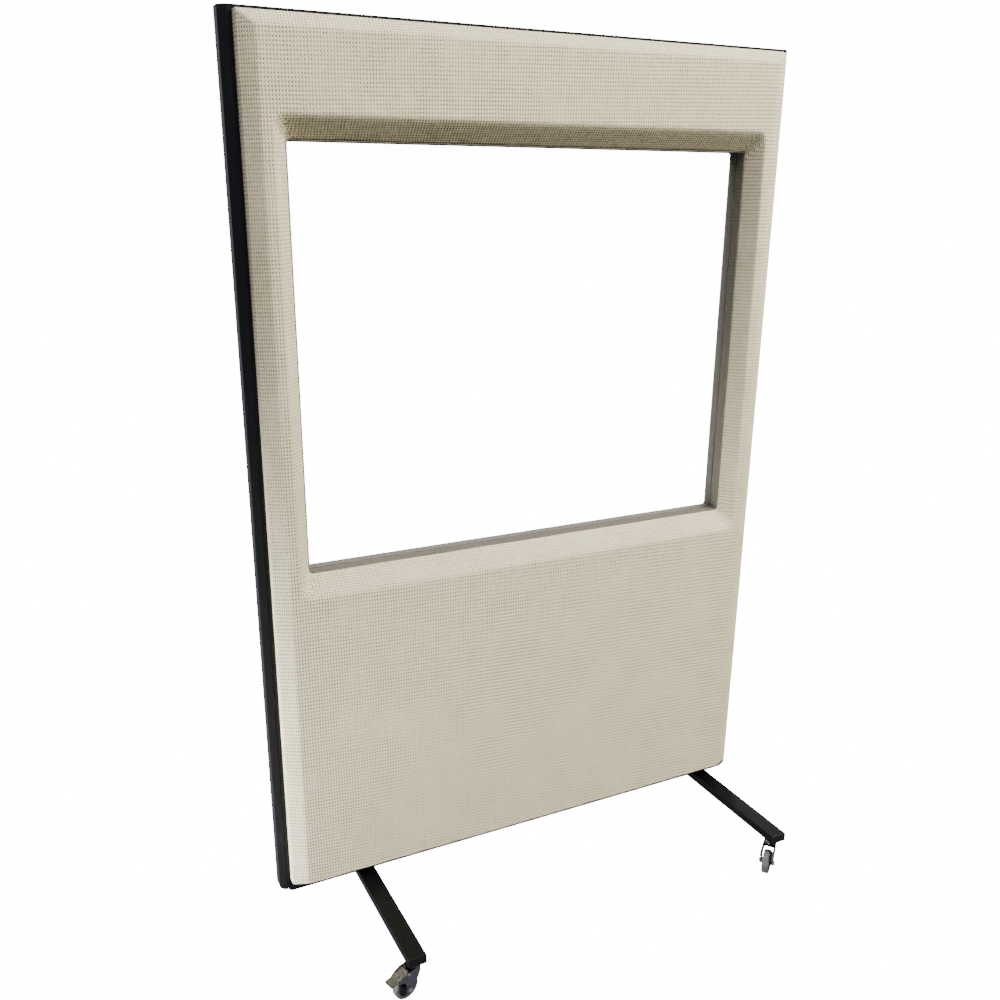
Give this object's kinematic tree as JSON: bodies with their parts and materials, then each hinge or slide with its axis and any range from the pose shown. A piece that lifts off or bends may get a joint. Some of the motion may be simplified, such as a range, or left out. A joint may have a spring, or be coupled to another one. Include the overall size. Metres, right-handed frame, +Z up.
{
  "type": "acoustic screen",
  "caption": "Free-standing acoustic screen on swivel castors, two braked: bevelled fabric pads on a black core, a glazed upper window and faceted edge profiles.",
  "frame": {"origin": "on the floor, under the middle of the core", "axes": "+Z up, +X to the right along the core as seen from the front, the front face towards -Y"},
  "size_m": [1.252, 0.6834, 1.914],
  "materials": {
    "timber": "sawn",
    "infill": "mineral fibre",
    "board": "black satin laminate",
    "profile": "black gloss",
    "black_plastic": "black satin",
    "lining": "taupe matt",
    "pane": "clear",
    "backer": "hardboard",
    "pad": "ribbed woven cream",
    "foot_paint": "black satin",
    "zinc_steel": "bright zinc",
    "chrome": "polished",
    "tyre": "matt grey",
    "hub": "matt dark grey"
  },
  "bodies": {
    "screen": {"bottom_rail": "timber", "top_rail": "timber", "stile_left": "timber", "stile_right": "timber", "sill_rail": "timber", "header_rail": "timber", "jamb_left": "timber", "jamb_right": "timber", "infill_upper": "infill", "infill_lower": "infill", "front_board": "board", "rear_board": "board", "edge_profile_left": "profile", "edge_profile_right": "profile", "profile_end_caps": "black_plastic", "window_lining": "lining", "front_bead": "lining", "rear_bead": "lining", "window_pane": "pane", "front_backer": "backer", "rear_backer": "backer", "front_pad": "pad", "rear_pad": "pad", "foot_bar_left": "foot_paint", "foot_bar_right": "foot_paint", "foot_end_caps": "black_plastic", "foot_plate_left": "foot_paint", "foot_plate_right": "foot_paint", "foot_screws": "zinc_steel", "stem_nuts": "zinc_steel", "castor_stem_front_left": "chrome", "castor_stem_front_right": "chrome", "castor_stem_rear_left": "chrome", "castor_stem_rear_right": "chrome"},
    "fork_front_left": {"castor_fork_front_left": "chrome", "castor_axle_front_left": "zinc_steel", "brake_pin_front_left": "zinc_steel"},
    "wheel_front_left": {"castor_tyre_front_left": "tyre", "castor_hub_front_left": "hub"},
    "pedal_front_left": {"brake_pedal_front_left": "chrome"},
    "fork_front_right": {"castor_fork_front_right": "chrome", "castor_axle_front_right": "zinc_steel"},
    "wheel_front_right": {"castor_tyre_front_right": "tyre", "castor_hub_front_right": "hub"},
    "fork_rear_left": {"castor_fork_rear_left": "chrome", "castor_axle_rear_left": "zinc_steel"},
    "wheel_rear_left": {"castor_tyre_rear_left": "tyre", "castor_hub_rear_left": "hub"},
    "fork_rear_right": {"castor_fork_rear_right": "chrome", "castor_axle_rear_right": "zinc_steel", "brake_pin_rear_right": "zinc_steel"},
    "wheel_rear_right": {"castor_tyre_rear_right": "tyre", "castor_hub_rear_right": "hub"},
    "pedal_rear_right": {"brake_pedal_rear_right": "chrome"}
  },
  "joints": [
    {"name": "swivel_front_left", "type": "hinge", "parent": "screen", "child": "fork_front_left", "pos_m": [-0.422, -0.307, 0.072], "axis": [0, 0, 1], "continuous": true},
    {"name": "roll_front_left", "type": "hinge", "parent": "fork_front_left", "child": "wheel_front_left", "pos_m": [-0.44363, -0.3132, 0.029], "axis": [0.2756, -0.9613, 0], "continuous": true},
    {"name": "brake_front_left", "type": "hinge", "parent": "fork_front_left", "child": "pedal_front_left", "pos_m": [-0.44411, -0.31334, 0.067], "axis": [0.2756, -0.9613, 0], "range_deg": [0, 7]},
    {"name": "swivel_front_right", "type": "hinge", "parent": "screen", "child": "fork_front_right", "pos_m": [0.54, -0.307, 0.072], "axis": [0, 0, 1], "continuous": true},
    {"name": "roll_front_right", "type": "hinge", "parent": "fork_front_right", "child": "wheel_front_right", "pos_m": [0.52227, -0.32085, 0.029], "axis": [0.6157, -0.788, 0], "continuous": true},
    {"name": "swivel_rear_left", "type": "hinge", "parent": "screen", "child": "fork_rear_left", "pos_m": [-0.422, 0.307, 0.072], "axis": [0, 0, 1], "continuous": true},
    {"name": "roll_rear_left", "type": "hinge", "parent": "fork_rear_left", "child": "wheel_rear_left", "pos_m": [-0.44255, 0.29785, 0.029], "axis": [0.4067, -0.9135, 0], "continuous": true},
    {"name": "swivel_rear_right", "type": "hinge", "parent": "screen", "child": "fork_rear_right", "pos_m": [0.54, 0.307, 0.072], "axis": [0, 0, 1], "continuous": true},
    {"name": "roll_rear_right", "type": "hinge", "parent": "fork_rear_right", "child": "wheel_rear_right", "pos_m": [0.52092, 0.29508, 0.029], "axis": [0.5299, -0.848, 0], "continuous": true},
    {"name": "brake_rear_right", "type": "hinge", "parent": "fork_rear_right", "child": "pedal_rear_right", "pos_m": [0.5205, 0.29481, 0.067], "axis": [0.5299, -0.848, 0], "range_deg": [0, 7]}
  ]
}
